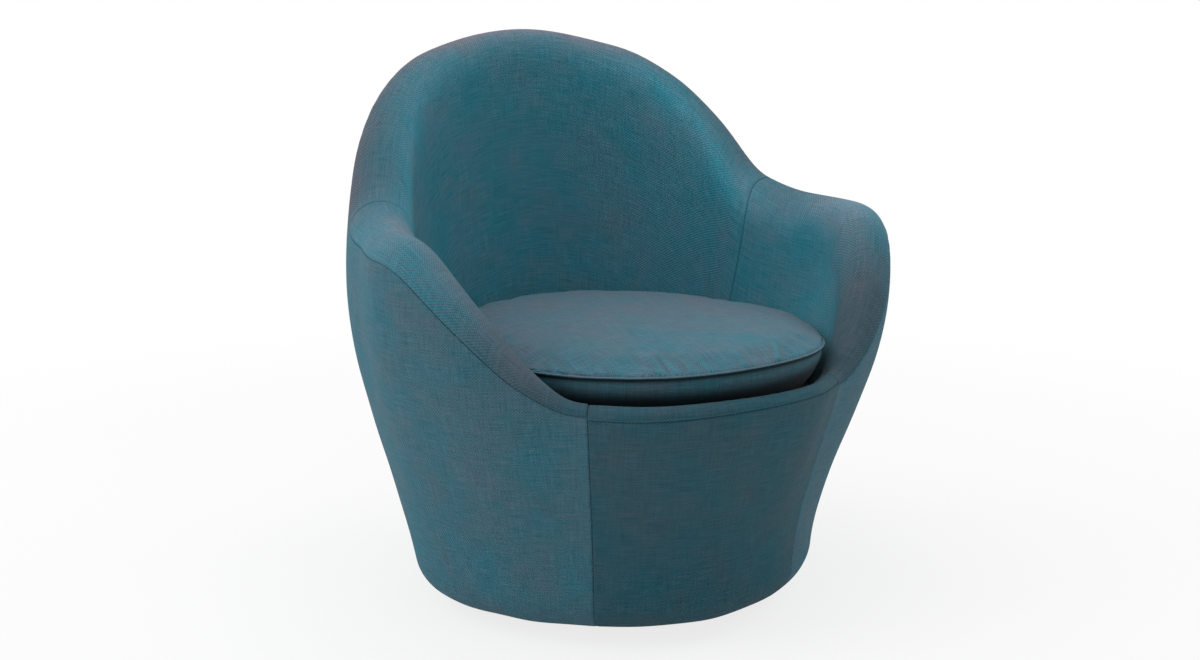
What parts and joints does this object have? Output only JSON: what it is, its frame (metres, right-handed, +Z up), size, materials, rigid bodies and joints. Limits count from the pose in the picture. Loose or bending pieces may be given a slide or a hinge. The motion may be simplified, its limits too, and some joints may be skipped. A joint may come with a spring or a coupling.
{
  "type": "swivel tub armchair",
  "caption": "Low upholstered tub armchair: sloping rolled arms rise from a low front rail to a domed back, with a loose seat cushion, and the whole tub turns on a hidden swivel.",
  "frame": {"origin": "on the floor under the swivel's axis, which is the bottom centre of the chair's box", "axes": "+Z is up along the swivel's axis, -Y is the way the sitter faces, and +X is the side on the right of a viewer who looks at the chair from its front"},
  "size_m": [0.7908, 0.7548, 0.7998],
  "materials": {
    "shot_twill": "two-tone wool-blend twill, blue-green warp over plum-grey weft, soft and matt",
    "cushion_twill": "the same two-tone twill laid with its paler, plum-grey side showing",
    "upholstery_foam": "open-cell upholstery foam, cream",
    "birch_plywood": "bare sanded birch plywood",
    "black_plinth": "board painted matt black",
    "zinc_steel": "bright zinc-plated steel",
    "bright_steel": "polished steel",
    "black_lining": "thin black lining cloth",
    "webbing": "elastic webbing, grey-brown",
    "felt": "dense dark grey felt"
  },
  "bodies": {
    "base": {"plinth": "black_plinth", "glide_1": "felt", "glide_2": "felt", "glide_3": "felt", "glide_4": "felt", "glide_5": "felt", "lower_swivel_plate": "zinc_steel", "plinth_screw_front_left": "zinc_steel", "plinth_screw_front_right": "zinc_steel", "plinth_screw_back_left": "zinc_steel", "plinth_screw_back_right": "zinc_steel", "pivot_pin": "bright_steel"},
    "ball_cage": {"ball_cage": "bright_steel"},
    "cushion": {"cushion_core": "upholstery_foam", "cushion_case": "cushion_twill", "cushion_top": "cushion_twill"},
    "seat": {"base_board": "birch_plywood", "front_rib": "birch_plywood", "corner_rib_right": "birch_plywood", "corner_rib_left": "birch_plywood", "arm_rib_right": "birch_plywood", "arm_rib_left": "birch_plywood", "shoulder_rib_right": "birch_plywood", "shoulder_rib_left": "birch_plywood", "wing_rib_right": "birch_plywood", "wing_rib_left": "birch_plywood", "back_rib": "birch_plywood", "rim_hoop": "zinc_steel", "seat_ring": "birch_plywood", "crosswise_web_first": "webbing", "lengthwise_web_first": "webbing", "crosswise_web_middle": "webbing", "lengthwise_web_middle": "webbing", "crosswise_web_last": "webbing", "lengthwise_web_last": "webbing", "seat_deck_pad": "black_lining", "dust_cover": "black_lining", "front_cover": "shot_twill", "front_padding": "upholstery_foam", "left_side_cover": "shot_twill", "left_side_padding": "upholstery_foam", "right_side_cover": "shot_twill", "right_side_padding": "upholstery_foam", "back_cover": "shot_twill", "back_padding": "upholstery_foam", "front_rail_cover": "shot_twill", "front_rail_foam": "upholstery_foam", "left_arm_cover": "shot_twill", "left_arm_foam": "upholstery_foam", "right_arm_cover": "shot_twill", "right_arm_foam": "upholstery_foam", "inside_back_cover": "shot_twill", "inside_back_foam": "upholstery_foam", "upper_swivel_plate": "zinc_steel", "board_bolt_front_left": "zinc_steel", "board_bolt_front_right": "zinc_steel", "board_bolt_back_left": "zinc_steel", "board_bolt_back_right": "zinc_steel"}
  },
  "joints": [
    {"name": "seat_swivel", "type": "hinge", "parent": "base", "child": "seat", "pos_m": [0, 0, 0.025], "axis": [0, 0, 1], "continuous": true},
    {"name": "ball_cage_turn", "type": "hinge", "parent": "base", "child": "ball_cage", "pos_m": [0, 0, 0.025], "axis": [0, 0, 1], "continuous": true},
    {"name": "cushion_lift", "type": "slide", "parent": "seat", "child": "cushion", "axis": [0, 0, 1], "range_m": [0, 0.48]}
  ],
  "couplings": [
    {"joint": "ball_cage_turn", "follows": "seat_swivel", "ratio": 0.5}
  ]
}
